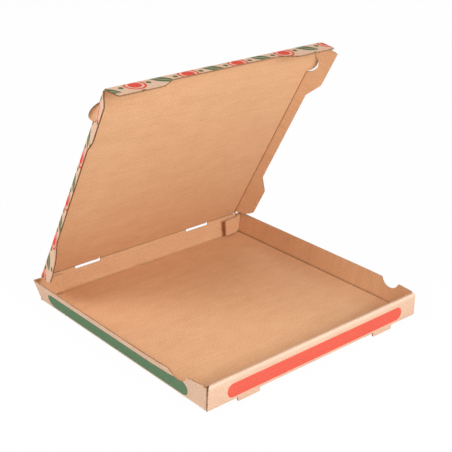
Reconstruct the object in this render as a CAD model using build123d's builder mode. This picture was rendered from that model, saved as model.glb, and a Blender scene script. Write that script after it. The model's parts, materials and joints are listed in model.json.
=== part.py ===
from build123d import *
import os
from math import atan, cos, radians, sin, tan

os.makedirs("parts", exist_ok=True)

# The erected box: outside sizes of the tray and the fluted board it is folded from
box_width = 330.0
box_length = 330.0
wall_height = 30.0
board = 1.6
fold_inner_radius = 0.4
fold_gap = 0.25  # play between two panels at a fold that swings
layer_play = 0.25  # play between layers of board that lie on each other
cut_overrun = 5.0

# Walls: their lean outwards in degrees, and how a side wall's lean grows along its run
side_lean = 15.0
back_lean = 9.0
side_lean_shares = ((0.0, 0.0), (0.1, 0.55), (0.2, 0.9), (0.3, 1.0))
wall_end_play = 0.4  # ends of the front and back walls, inside the tray's width

# Front wall, rolled over two corner flaps and locked into the base, with two feet
front_corner_flap_length = 34.0
front_corner_radius = 2.5
foot_center = 106.5  # from the middle of the front wall
foot_length = 33.0
foot_drop = 4.0
foot_corner_radius = 1.5
foot_kerf = 0.5

# Thumb notches in the side walls, and the thumb tabs of the lid that lie in them
thumb_center = 44.0  # from the tray's front face
notch_chord = 30.0
notch_depth = 10.0
tab_chord = 27.0
tab_depth = 9.5
tab_kerf = 0.7

# Slits along the hinge fold, each with a hook cut up into the lid at its right end
slit_center = 91.0  # from the middle of the back wall
slit_length = 39.0
slit_height = 3.0
hook_width = 2.6
hook_height = 3.0

# Lid: how far it stands open in degrees, its play in the tray when shut, and its flaps
lid_open = 60.0
front_play = 5.5  # between the front flap and the rolled front wall
side_play = 3.0  # between a side flap and its side wall
floor_play = 2.6  # between the flaps' wide ends and the base
flap_narrow = 13.3
flap_corner_radius = 3.0
flap_end_play = 1.5  # between a side flap's end and the front flap, both folded down
side_flap_turn_share = 0.5  # of the lid's swing: square when shut, flat when the lid lies back
front_flap_turn_share = 0.42

# Runs along a side flap's fold: wide at the hinge, narrow, then flaring to its wide front end
side_flap_start = 12.0  # from the hinge
side_flap_start_width = 17.0
side_flap_start_slant = 9.0
side_flap_back_run = 54.0
side_flap_taper_run = 20.0
side_flap_flare_run = 24.0
side_flap_front_run = 52.0

# Runs along the front flap's fold, at each end, and the slant of its ends
front_flap_wide_run = 61.0
front_flap_flare_run = 20.0
front_flap_end_slant = 2.0

# Corner flaps that swing from the back ends of the side walls, inside the back wall
corner_flap_length = 31.0
corner_flap_drop = 3.6  # below the rim, clear of the shut lid
corner_flap_bottom = 2.8
corner_flap_hinge_bottom = 6.5
corner_flap_free_bottom = 4.4
corner_flap_heel = 9.0
corner_flap_gap = 0.7  # lets the flap swing in past the wall's end
corner_swing_left = 3.0  # degrees off the back wall
corner_swing_right = 14.0

# Sizes that follow from those above
half_width = box_width / 2
half_length = box_length / 2
half_board = board / 2
fold_radius = board + fold_inner_radius
fold_reach = half_board + fold_gap  # a fixed panel's edge, from the axis of a swinging fold
panel_reach = wall_height - fold_radius
roll_depth = 3 * board + 2 * layer_play
layer_bottom = board + layer_play
corner_flap_top = wall_height - corner_flap_drop
side_flap_fold = 90 - side_flap_turn_share * lid_open
front_flap_fold = 90 - front_flap_turn_share * lid_open


def arc_radius(chord, depth):
    """Radius of the arc that spans a chord with the given depth."""
    return (chord**2 / 4 + depth**2) / (2 * depth)


notch_radius = arc_radius(notch_chord, notch_depth)
tab_radius = arc_radius(tab_chord, tab_depth)


def wall_section(lean, reach):
    """Section of a wall rising from its base fold: outwards along x, upwards along y."""
    outwards = Vector(cos(radians(lean)), -sin(radians(lean)))
    rise = Vector(sin(radians(lean)), cos(radians(lean))) * reach
    center = Vector(-fold_radius, fold_radius)
    outer = center + outwards * fold_radius
    inner = center + outwards * fold_inner_radius
    with BuildLine() as section:
        CenterArc(center, fold_radius, -90, 90 - lean)
        Polyline(outer, outer + rise, inner + rise, inner)
        CenterArc(center, fold_inner_radius, -90, 90 - lean)
        Line((-fold_radius, 0), (-fold_radius, board))
    make_face(section.edges())


def fold_bead(plane, length):
    """Rounded edge of a swinging panel, along the plane's x axis from its origin."""
    with BuildSketch(Plane(origin=plane.origin, x_dir=plane.y_dir, z_dir=plane.x_dir)) as bead:
        Circle(half_board)
    extrude(bead.sketch, amount=length)


# Planes of the back wall's inner face, the corner flaps on it and the side walls' back ends
back_in = (0, -cos(radians(back_lean)), sin(radians(back_lean)))
back_face_y = half_length - fold_radius + fold_inner_radius * cos(radians(back_lean))
back_face_z = fold_radius - fold_inner_radius * sin(radians(back_lean))
back_face = Plane(origin=(0, back_face_y, back_face_z), x_dir=(1, 0, 0), z_dir=back_in)
corner_plane = back_face.offset(layer_play + half_board)
side_end = back_face.offset(layer_play + board + corner_flap_gap)

# Axis of the lid's hinge fold: the middle of the back wall's board, half a board below the rim
hinge_z = wall_height - half_board
hinge_rise = hinge_z - fold_radius + (fold_radius - half_board) * sin(radians(back_lean))
hinge_reach = hinge_rise / cos(radians(back_lean))
hinge_out = (fold_radius - half_board) * cos(radians(back_lean)) + hinge_rise * tan(radians(back_lean))
hinge_y = half_length - fold_radius + hinge_out

# Lid sizes that let it shut into the tray
lid_half = half_width - board - side_play - half_board  # middle of the lid to a side fold
lid_edge = lid_half - fold_reach
lid_length = hinge_y + half_length - roll_depth - front_play - half_board  # hinge fold to front fold
flap_wide = hinge_z - board - floor_play

# Front wall: outer panel, flat rolled top and inner panel, with rounded top corners
front_center = (fold_radius, wall_height - fold_radius)
rear_center = (roll_depth - fold_radius, wall_height - fold_radius)
with BuildPart() as front_wall:
    with BuildSketch(Plane(origin=(0, -half_length, 0), x_dir=(0, 1, 0), z_dir=(1, 0, 0))):
        with BuildLine():
            Line((fold_radius, board), (fold_radius, 0))
            CenterArc((fold_radius, fold_radius), fold_radius, 180, 90)
            Line((0, fold_radius), (0, front_center[1]))
            CenterArc(front_center, fold_radius, 90, 90)
            Line((fold_radius, wall_height), (rear_center[0], wall_height))
            CenterArc(rear_center, fold_radius, 0, 90)
            Line((roll_depth, rear_center[1]), (roll_depth, layer_bottom))
            Line((roll_depth, layer_bottom), (roll_depth - board, layer_bottom))
            Line((roll_depth - board, layer_bottom), (roll_depth - board, rear_center[1]))
            CenterArc(rear_center, fold_inner_radius, 0, 90)
            Line((rear_center[0], wall_height - board), (fold_radius, wall_height - board))
            CenterArc(front_center, fold_inner_radius, 90, 90)
            Line((board, front_center[1]), (board, fold_radius))
            CenterArc((fold_radius, fold_radius), fold_inner_radius, 180, 90)
        make_face()
    extrude(amount=half_width - wall_end_play, both=True)
    with BuildSketch(Plane.XZ.offset(half_length + cut_overrun)) as front_outline:
        with Locations((0, wall_height / 2)):
            Rectangle(box_width - 2 * wall_end_play, wall_height)
        fillet(front_outline.vertices().group_by(Axis.Y)[-1], front_corner_radius)
    extrude(amount=-(roll_depth + 2 * cut_overrun), mode=Mode.INTERSECT)

# Tray: base, side walls, front wall and back wall, folded from one sheet
side_front = roll_depth - half_length
flap_front = layer_bottom - half_length
flap_height = wall_height - 2 * layer_bottom
side_run = box_length - roll_depth
with BuildPart() as tray:
    # side walls, upright at the front and leaning out behind the thumb notches
    for run_share, lean_share in side_lean_shares:
        station = side_front + run_share * side_run
        with BuildSketch(Plane(origin=(half_width, station, 0), x_dir=(1, 0, 0), z_dir=(0, -1, 0))):
            wall_section(side_lean * lean_share, panel_reach)
    loft()
    with BuildSketch(Plane(origin=(half_width, station, 0), x_dir=(1, 0, 0), z_dir=(0, -1, 0))):
        wall_section(side_lean, panel_reach)
    extrude(amount=station - half_length - wall_height)
    split(bisect_by=side_end, keep=Keep.TOP)
    with BuildSketch(Plane.YZ):
        with Locations((thumb_center - half_length, wall_height + notch_radius - notch_depth)):
            Circle(notch_radius)
    extrude(amount=box_width, mode=Mode.SUBTRACT)
    # front corner flaps, turned in from the side walls under the rolled top
    with BuildSketch(Plane(origin=(half_width, side_front, 0), x_dir=(1, 0, 0), z_dir=(0, -1, 0))):
        wall_section(0, wall_height - layer_bottom - fold_radius)
    extrude(amount=roll_depth - layer_bottom - fold_radius)
    with BuildSketch(Plane(origin=(half_width, flap_front, layer_bottom))):
        wall_section(0, roll_depth - layer_bottom - fold_radius)
        with Locations((-fold_radius, 0)):
            Rectangle(front_corner_flap_length - fold_radius, board, align=(Align.MAX, Align.MIN))
    extrude(amount=flap_height)
    mirror(about=Plane.YZ)
    # base panel and front wall
    with BuildSketch():
        Rectangle(box_width - 2 * fold_radius, box_length - 2 * fold_radius)
    extrude(amount=board)
    add(front_wall.part)
    # back wall up to the hinge fold, with the two slits open at the fold
    with BuildSketch(Plane(origin=(0, half_length, 0), x_dir=(0, 1, 0), z_dir=(1, 0, 0))):
        wall_section(back_lean, hinge_reach - fold_reach)
    extrude(amount=half_width - wall_end_play, both=True)
    with BuildSketch(Plane(origin=(0, hinge_y, hinge_z), x_dir=(1, 0, 0), z_dir=back_in)):
        with Locations((-slit_center, -fold_reach), (slit_center, -fold_reach)):
            Rectangle(slit_length, 2 * slit_height)
    extrude(amount=board, both=True, mode=Mode.SUBTRACT)
    # lock slots in the base, the inner panel's lock tabs in them, and the feet they leave
    tab_length = foot_length - 2 * foot_kerf
    for side in (-1, 1):
        with BuildSketch(Plane.XY.offset(-cut_overrun)):
            with Locations((side * foot_center, roll_depth + layer_play - half_length)):
                Rectangle(foot_length, 2 * roll_depth, align=(Align.CENTER, Align.MAX))
        extrude(amount=cut_overrun + layer_bottom, mode=Mode.SUBTRACT)
        with BuildSketch(Plane.XY):
            with Locations((side * foot_center, roll_depth - half_length)):
                Rectangle(tab_length, board, align=(Align.CENTER, Align.MAX))
        extrude(amount=2 * layer_bottom)
        with BuildSketch(Plane.XZ.offset(half_length)) as foot:
            with Locations((side * foot_center, fold_radius)):
                Rectangle(tab_length, foot_drop + fold_radius, align=(Align.CENTER, Align.MAX))
            fillet(foot.vertices().group_by(Axis.Y)[0], foot_corner_radius)
        extrude(amount=-board)
tray.part.label = "tray"
export_step(tray.part, "parts/tray.step")

# Lid panel with its rounded hinge edge and two thumb tabs, standing open
tab_place = hinge_y + half_length - thumb_center
lid_in = (0, -sin(radians(lid_open)), -cos(radians(lid_open)))
lid_plane = Plane(origin=(0, hinge_y, hinge_z), x_dir=(1, 0, 0), z_dir=lid_in)
with BuildPart() as lid_panel:
    with BuildSketch(lid_plane):
        Rectangle(2 * lid_edge, lid_length - fold_reach, align=(Align.CENTER, Align.MIN))
        tab_inset = lid_half + tab_depth - tab_radius
        with Locations((-tab_inset, tab_place), (tab_inset, tab_place)):
            Circle(tab_radius)
    extrude(amount=half_board, both=True)
    bead_start = lid_plane.from_local_coords((-lid_edge, 0, 0))
    fold_bead(Plane(origin=bead_start, x_dir=(1, 0, 0), z_dir=lid_in), 2 * lid_edge)
    with BuildSketch(lid_plane):
        hook_place = slit_length / 2 - hook_width / 2
        with Locations((hook_place - slit_center, 0), (hook_place + slit_center, 0)):
            Rectangle(hook_width, 2 * hook_height)
    extrude(amount=board, both=True, mode=Mode.SUBTRACT)
lid_panel.part.label = "lid_panel"
export_step(lid_panel.part, "parts/lid_panel.step")


def folded(flat_out, fold):
    """Direction of a flap away from its fold, turned down from flat by the fold's angle."""
    return flat_out * cos(radians(fold)) + lid_plane.z_dir * sin(radians(fold))


# Front flap: wide ends and a narrow middle
lid_along = lid_plane.y_dir
front_half = lid_half + half_board
front_flare_end = front_half - front_flap_wide_run
front_plane = Plane(
    origin=lid_plane.from_local_coords((0, lid_length, 0)),
    x_dir=(1, 0, 0),
    z_dir=Vector(1, 0, 0).cross(folded(lid_along, front_flap_fold)),
)
front_half_outline = (
    (front_half, 0),
    (front_half - front_flap_end_slant, flap_wide),
    (front_flare_end, flap_wide),
    (front_flare_end - front_flap_flare_run, flap_narrow),
)
with BuildPart() as lid_front_flap:
    with BuildSketch(front_plane) as front_sketch:
        with BuildLine():
            Polyline(
                *front_half_outline,
                *[(-place, width) for place, width in reversed(front_half_outline)],
                close=True,
            )
        make_face()
        fillet(front_sketch.vertices().filter_by(lambda corner: corner.Y > half_board), flap_corner_radius)
    extrude(amount=half_board, both=True)
    bead_start = front_plane.from_local_coords((-front_half, 0, 0))
    fold_bead(Plane(origin=bead_start, x_dir=(1, 0, 0), z_dir=front_plane.z_dir), 2 * front_half)
lid_front_flap.part.label = "lid_front_flap"
export_step(lid_front_flap.part, "parts/lid_front_flap.step")

# Side flaps: wide ends, a narrow middle, and the hole that the thumb tab was cut from
side_plane = Plane(
    origin=lid_plane.from_local_coords((lid_half, 0, 0)),
    x_dir=lid_along,
    z_dir=lid_along.cross(folded(Vector(1, 0, 0), side_flap_fold)),
)
side_flap_end = lid_length - half_board - flap_end_play
side_taper_start = side_flap_start + side_flap_back_run
side_flare_end = side_flap_end - side_flap_front_run
side_outline = (
    (side_flap_start, 0),
    (side_flap_start, side_flap_start_width),
    (side_flap_start + side_flap_start_slant, flap_wide),
    (side_taper_start, flap_wide),
    (side_taper_start + side_flap_taper_run, flap_narrow),
    (side_flare_end - side_flap_flare_run, flap_narrow),
    (side_flare_end, flap_wide),
    (side_flap_end, flap_wide),
    (side_flap_end, 0),
)
with BuildPart() as lid_right_flap:
    with BuildSketch(side_plane) as side_sketch:
        with BuildLine():
            Polyline(*side_outline, close=True)
        make_face()
        fillet(side_sketch.vertices().filter_by(lambda corner: corner.Y > half_board), flap_corner_radius)
    extrude(amount=half_board, both=True)
    bead_start = side_plane.from_local_coords((side_flap_start, 0, 0))
    fold_bead(
        Plane(origin=bead_start, x_dir=lid_along, z_dir=side_plane.z_dir),
        side_flap_end - side_flap_start,
    )
    with BuildSketch(side_plane):
        with Locations((tab_place, tab_depth - tab_radius)):
            Circle(tab_radius + tab_kerf)
    extrude(amount=board, both=True, mode=Mode.SUBTRACT)
lid_right_flap.part.label = "lid_right_flap"
export_step(lid_right_flap.part, "parts/lid_right_flap.step")

with BuildPart() as lid_left_flap:
    add(lid_right_flap.part)
    mirror(about=Plane.YZ, mode=Mode.REPLACE)
lid_left_flap.part.label = "lid_left_flap"
export_step(lid_left_flap.part, "parts/lid_left_flap.step")

# Fold of a back corner flap: in the middle of the leaning side wall's board, against the back wall
corner_tilt = atan(cos(radians(back_lean)) * tan(radians(side_lean)))
side_mid = fold_radius - half_board
side_mid_x = half_width - fold_radius + side_mid * cos(radians(side_lean))
side_mid_z = fold_radius - side_mid * sin(radians(side_lean))


def corner_point(inset, height):
    """Place on a flush corner flap, measured along its fold and square to it."""
    rise = (height - side_mid_z) / cos(radians(back_lean))
    across = inset * cos(corner_tilt) + rise * sin(corner_tilt)
    along = rise * cos(corner_tilt) - inset * sin(corner_tilt)
    return (across, along)


def corner_flap(swing):
    """The right corner flap, swung off the back wall about its fold."""
    base_rise = (side_mid_z - corner_plane.origin.Z) / cos(radians(back_lean))
    base = corner_plane.from_local_coords((side_mid_x, base_rise, 0))
    flush = corner_plane.x_dir * -cos(corner_tilt) + corner_plane.y_dir * sin(corner_tilt)
    along = corner_plane.x_dir * sin(corner_tilt) + corner_plane.y_dir * cos(corner_tilt)
    across = flush * cos(radians(swing)) + corner_plane.z_dir * sin(radians(swing))
    swung = Plane(origin=base, x_dir=across, z_dir=across.cross(along))
    low = corner_point(0, corner_flap_hinge_bottom)[1]
    high = corner_point(0, corner_flap_top)[1]
    with BuildSketch(swung) as outline:
        with BuildLine():
            Polyline(
                (0, low),
                corner_point(corner_flap_heel, corner_flap_bottom),
                corner_point(corner_flap_length, corner_flap_free_bottom),
                corner_point(corner_flap_length, corner_flap_top),
                (0, high),
                close=True,
            )
        make_face()
    extrude(outline.sketch, amount=half_board, both=True)
    bead_start = swung.from_local_coords((0, low, 0))
    fold_bead(Plane(origin=bead_start, x_dir=swung.y_dir, z_dir=swung.z_dir), high - low)


with BuildPart() as back_right_corner_flap:
    corner_flap(corner_swing_right)
back_right_corner_flap.part.label = "back_right_corner_flap"
export_step(back_right_corner_flap.part, "parts/back_right_corner_flap.step")

with BuildPart() as back_left_corner_flap:
    corner_flap(corner_swing_left)
    mirror(about=Plane.YZ, mode=Mode.REPLACE)
back_left_corner_flap.part.label = "back_left_corner_flap"
export_step(back_left_corner_flap.part, "parts/back_left_corner_flap.step")
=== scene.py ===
import bpy
import json
import math
import numpy as np
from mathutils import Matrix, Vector


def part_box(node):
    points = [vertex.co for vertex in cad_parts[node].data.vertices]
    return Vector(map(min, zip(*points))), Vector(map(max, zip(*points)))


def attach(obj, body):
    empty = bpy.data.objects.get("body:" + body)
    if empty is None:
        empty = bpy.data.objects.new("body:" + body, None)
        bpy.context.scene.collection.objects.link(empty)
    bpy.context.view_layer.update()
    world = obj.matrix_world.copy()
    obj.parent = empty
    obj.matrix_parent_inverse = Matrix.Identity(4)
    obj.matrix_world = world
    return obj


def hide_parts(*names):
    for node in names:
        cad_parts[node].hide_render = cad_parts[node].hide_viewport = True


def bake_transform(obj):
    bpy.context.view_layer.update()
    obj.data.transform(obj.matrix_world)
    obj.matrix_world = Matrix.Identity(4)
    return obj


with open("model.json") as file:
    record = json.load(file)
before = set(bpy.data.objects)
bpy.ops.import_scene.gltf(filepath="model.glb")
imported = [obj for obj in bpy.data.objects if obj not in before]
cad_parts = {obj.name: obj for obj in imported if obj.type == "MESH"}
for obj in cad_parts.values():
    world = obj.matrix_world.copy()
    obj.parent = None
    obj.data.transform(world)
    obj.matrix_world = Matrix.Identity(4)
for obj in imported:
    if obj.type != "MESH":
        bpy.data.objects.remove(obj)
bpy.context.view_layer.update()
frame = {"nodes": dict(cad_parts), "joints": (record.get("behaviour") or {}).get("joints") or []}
joints = {joint["name"]: joint for joint in frame["joints"]}
print("frame loaded:", ", ".join(sorted(frame["nodes"])))

mm = 0.001
tiny = 1e-6  # between the two sides of a sudden step in an outline
hair = 1e-9  # for rounding
decimals = 8
quarter = math.pi / 2
board = {
    "thick": 1.6 * mm,
    "liner": 0.22 * mm,
    "medium": 0.2 * mm,
    "flute": 3.2 * mm,  # from one flute tip to the next
    "fluteSteps": 8,
    "linerStep": 4.0 * mm,
    "foldOuter": 2.0 * mm,  # outer face round a fixed fold
    "foldMid": 1.2 * mm,
    "foldSteps": 9,
    "runSteps": 12,
    "creaseReach": 2.2 * mm,  # crushed board each side of a fold that swings
    "freeGap": 1.05 * mm,  # a loose edge's place beside a swinging fold
    "narrowest": 1e-7,  # cells under this width are left out
    "sharpAngle": math.radians(40.0),
}
halfThick = board["thick"] / 2
foldMid = board["foldMid"]
reach = board["creaseReach"]

right = np.array([1.0, 0.0, 0.0])
hinge = np.array(joints["lid_hinge"]["pos_m"], float)
frontFold = np.array(joints["front_flap_fold"]["pos_m"], float)
lidHalf = joints["right_flap_fold"]["pos_m"][0]
lidLength = float(np.linalg.norm(frontFold - hinge))
lidAlong = (frontFold - hinge) / lidLength
lidOut = np.cross(lidAlong, right)  # square to the lid, away from the food
lidEdge = lidHalf - board["freeGap"]


# a growing mesh: corner places, quads, finish numbers, blank places and crease strength

def newStore():
    return {"points": [], "quads": [], "finish": [], "flat": [], "crease": [], "count": 0}


def addSheet(store, lower, upper, flat, crease, keep, finish):
    # closed sheet between two grids of points, with a rim wherever a quad is left out
    rows, columns = lower.shape[:2]
    number = np.arange(rows * columns).reshape(rows, columns)
    step = rows * columns
    a, b = number[:-1, :-1][keep], number[1:, :-1][keep]
    c, d = number[1:, 1:][keep], number[:-1, 1:][keep]
    cross = np.cross(upper[1:, :-1] - upper[:-1, :-1], upper[:-1, 1:] - upper[:-1, :-1])
    facing = ((upper - lower)[:-1, :-1] * cross).sum(-1)[keep].sum() > 0
    padded = np.pad(keep, 1)
    edges = []
    for shift, first, last in (
        ((0, 1), number[:-1, :-1], number[:-1, 1:]),
        ((2, 1), number[1:, 1:], number[1:, :-1]),
        ((1, 0), number[1:, :-1], number[:-1, :-1]),
        ((1, 2), number[:-1, 1:], number[1:, 1:]),
    ):
        beside = padded[shift[0]:shift[0] + rows - 1, shift[1]:shift[1] + columns - 1]
        bare = keep & ~beside
        edges.append(np.stack([first[bare], last[bare], last[bare] + step, first[bare] + step], 1))
    rim = np.concatenate(edges)
    top = np.stack([a, b, c, d], 1) + step
    bottom = np.stack([d, c, b, a], 1)
    if not facing:
        top, bottom, rim = top[:, ::-1], bottom[:, ::-1], rim[:, ::-1]
    quads = np.concatenate([bottom, top, rim])
    names = np.repeat(finish, [len(bottom), len(top), len(rim)])
    used, quads = np.unique(quads, return_inverse=True)
    points = np.concatenate([lower.reshape(-1, 3), upper.reshape(-1, 3)])
    store["points"].append(points[used])
    store["quads"].append(quads.reshape(-1, 4) + store["count"])
    store["finish"].append(names)
    store["flat"].append(np.concatenate([flat.reshape(-1, 2)] * 2)[used])
    store["crease"].append(np.concatenate([crease.ravel()] * 2)[used])
    store["count"] += len(used)


outside, inside, raw = 0, 1, 2  # finishes: printed face, food face, cut edge and fluting


def rowsBetween(low, high, *groups):
    rows = np.unique(np.concatenate(groups))
    return rows[(rows >= low) & (rows <= high)]


def fluteRows(low, high, *marks):
    # close enough to draw the flutes, and through every mark
    count = max(2, int(round((high - low) / board["flute"] * board["fluteSteps"])) + 1)
    return rowsBetween(low, high, np.linspace(low, high, count), *marks)


def sameColumns(along, places):
    return np.broadcast_to(np.array(places, float)[None], (len(along), len(places)))


def bothSides(places, apart=tiny):
    # just before and just after each place
    return [place + shift for place in places for shift in (-apart, apart)]


def mirrored(side, *middle):
    return np.concatenate([-side[:, ::-1], *middle, side], 1)


def near(distance, width):
    return np.exp(-((distance / width) ** 2))


def everywhere(along, across):
    return np.ones(along.shape, bool)


def unworn(along, across):
    return np.zeros(along.shape)


def cellMiddle(grid):
    return (grid[1:, 1:] + grid[:-1, :-1] + grid[1:, :-1] + grid[:-1, 1:]) / 4


def addBoard(store, rows, columns, place, keep=everywhere, crease=unworn, linerRows=None, linerColumns=None):
    # fluted board: two liners and a wavy medium between them
    liner, medium = board["liner"], board["medium"]
    linerRows = rows if linerRows is None else linerRows
    linerColumns = linerColumns or columns
    swing = halfThick - liner - medium / 2
    layers = (
        (linerRows, linerColumns, halfThick - liner, halfThick, (raw, outside, raw), 0),
        (linerRows, linerColumns, liner - halfThick, -halfThick, (raw, inside, raw), 0),
        (rows, columns, -medium / 2, medium / 2, (raw, raw, raw), swing),
    )
    for run, spread, low, high, finish, wave in layers:
        across = spread(run)
        along = np.broadcast_to(run[:, None], across.shape)
        lift = wave * np.sin(2 * math.pi * along / board["flute"])
        wide = np.abs(across[1:, 1:] - across[1:, :-1]) > board["narrowest"]
        kept = keep(cellMiddle(along), cellMiddle(across)) & wide
        addSheet(
            store,
            place(along, across, lift + low),
            place(along, across, lift + high),
            np.stack([across, along], -1),
            crease(along, across),
            kept,
            finish,
        )


def makePiece(name, store, finishes):
    mesh = bpy.data.meshes.new(name)
    points = np.concatenate(store["points"])
    quads = np.concatenate(store["quads"])
    mesh.from_pydata(points.tolist(), [], quads.tolist())
    mesh.polygons.foreach_set("material_index", np.concatenate(store["finish"]).astype(np.int32))
    mesh.polygons.foreach_set("use_smooth", np.ones(len(quads), bool))
    loopCorner = np.zeros(len(mesh.loops), np.int32)
    mesh.loops.foreach_get("vertex_index", loopCorner)
    blank = mesh.uv_layers.new(name="blank")
    blank.data.foreach_set("uv", np.concatenate(store["flat"])[loopCorner].astype(np.float32).ravel())
    crease = mesh.attributes.new("crease", "FLOAT", "POINT")
    crease.data.foreach_set("value", np.concatenate(store["crease"]).astype(np.float32))
    mesh.set_sharp_from_angle(angle=board["sharpAngle"])
    for finish in finishes:
        mesh.materials.append(finish)
    mesh.update()
    piece = bpy.data.objects.new(name, mesh)
    bpy.context.scene.collection.objects.link(piece)
    return piece


# finishes: procedural kraft paper, its inks and the raw fluting

def linear(red, green, blue):
    tone = [value / 255 for value in (red, green, blue)]
    return [v / 12.92 if v <= 0.04045 else ((v + 0.055) / 1.055) ** 2.4 for v in tone] + [1.0]


kraft = {
    "outerPale": linear(232, 197, 170),
    "outerDark": linear(211, 169, 140),
    "innerPale": linear(229, 184, 143),
    "innerDark": linear(206, 154, 112),
    "edgePale": linear(226, 182, 142),
    "edgeDark": linear(190, 142, 102),
    # the lid's cut edges are darker than the tray's: painted shade in the fluting and along the flaps' edges
    "lidEdgeShadedPale": linear(196, 150, 110),
    "lidEdgeShadedDark": linear(136, 95, 64),
    # painted shade along the inner folds and in closed corners
    "paintedShadeTone": linear(96, 60, 36),
    # pale wear along the outer folds, and the painted highlight down the front wall's top
    "wearAndHighlightTone": linear(247, 222, 199),
    "speckTone": linear(96, 62, 40),
    "red": linear(229, 84, 67),
    "green": linear(74, 122, 88),
    "lidRed": linear(224, 58, 46),
    "lidGreen": linear(42, 92, 52),
}
paper = {
    "layers": (  # name, noise scale, detail, roughness, stretch over the blank, share of the tone
        ("cloud", 40.0, 2.0, 0.5, None, 0.12),
        ("fibre", 1.0, 4.0, 0.7, (420.0, 1500.0, 1.0), 0.35),
        ("grain", 600.0, 3.0, 0.65, None, 0.75),
        ("wander", 1.0, 2.0, 0.5, (40.0, 330.0, 1.0), 0.16),
        ("streak", 1.0, 2.0, 0.5, (12.0, 75.0, 1.0), 0.12),
    ),
    "fluteShare": 0.03,  # how far the flutes show through the liner
    "toneSpan": (0.56, 0.96),
    "outerRough": 0.88,
    "innerRough": 0.9,
    "rawRough": 0.93,
    "roughPlay": 0.06,
    "roughSpan": (0.2, 0.8),
    "specular": 0.25,
    # share of painted shade along the inner folds and cut edges
    "foldShare": 0.7,
    # share of pale wear and painted highlight on the outer faces
    "wearAndHighlightShare": 0.5,
    # share of painted shade in closed corners
    "closedShadeShare": 0.9,
    "fibreHeight": 0.6,
    "fluteHeight": 0.35,
    "bumpStrength": 0.22,
    "bumpDepth": 0.12 * mm,
}
specks = {
    "scale": 55.0,
    "size": 0.028,
    "rare": 0.86,
    "share": 0.35,
}
ink = {
    "edge": 0.25 * mm,
    "cover": 0.96,
    "patchNoise": (480.0, 4.0, 0.7),
    "patchSpan": (0.25, 0.6, 0.84, 1.0),
    "shadeSpan": (0.3, 0.7, 0.86, 1.05),
}


class NodeBench:
    def __init__(self, owner):
        owner.use_nodes = True
        self.tree = owner.node_tree
        self.tree.nodes.clear()

    def plug(self, source, socket):
        if isinstance(source, bpy.types.NodeSocket):
            self.tree.links.new(source, socket)
        else:
            socket.default_value = source

    def add(self, kind, inputs=None, **settings):
        node = self.tree.nodes.new(kind)
        for key, value in settings.items():
            setattr(node, key, value)
        for key, value in (inputs or {}).items():
            self.plug(value, node.inputs[key])
        return node

    def math(self, operation, *values):
        return self.add("ShaderNodeMath", dict(enumerate(values)), operation=operation).outputs[0]

    def distance(self, x, y):
        return self.math("SQRT", self.math("MULTIPLY_ADD", x, x, self.math("MULTIPLY", y, y)))

    def noise(self, vector, scale, detail, rough, stretch=None):
        if stretch:
            vector = self.add("ShaderNodeMapping", {"Vector": vector, "Scale": stretch}).outputs["Vector"]
        inputs = {"Vector": vector, "Scale": scale, "Detail": detail, "Roughness": rough}
        return self.add("ShaderNodeTexNoise", inputs, noise_dimensions="3D").outputs["Fac"]

    def ramp(self, value, low, high, start=0.0, end=1.0):
        inputs = dict(enumerate((value, low, high, start, end)))
        return self.add("ShaderNodeMapRange", inputs, interpolation_type="SMOOTHSTEP").outputs["Result"]

    def blend(self, share, under, over, mode="MIX"):
        inputs = {"Factor": share, "A": under, "B": over}
        return self.add("ShaderNodeMix", inputs, data_type="RGBA", blend_type=mode).outputs["Result"]


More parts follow.
